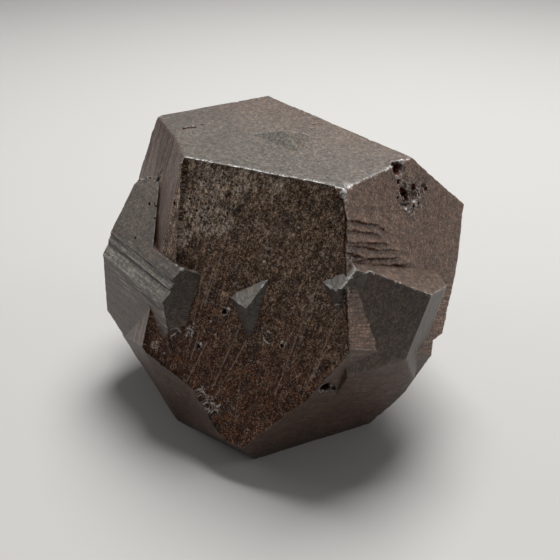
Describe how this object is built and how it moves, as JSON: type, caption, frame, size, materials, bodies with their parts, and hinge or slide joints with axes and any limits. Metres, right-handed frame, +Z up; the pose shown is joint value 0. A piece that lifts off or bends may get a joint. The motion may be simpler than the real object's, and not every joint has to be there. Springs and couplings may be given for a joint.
{
  "type": "goethite pseudomorph",
  "caption": "Loose iron-cross twin crystal of pyrite replaced by goethite: a rounded pentagon-faced crystal with chisel-shaped blocks of a second crystal standing out of its faces.",
  "frame": {"origin": "centre of the bounding box in plan, at the level of the face it rests on", "axes": "+Z up, -Y towards the viewer, +X to the viewer's right"},
  "size_m": [0.0478, 0.0486, 0.0369],
  "materials": {
    "goethite": "satin, granular in places"
  },
  "bodies": {
    "root": {"goethite_crystal": "goethite"}
  },
  "joints": []
}
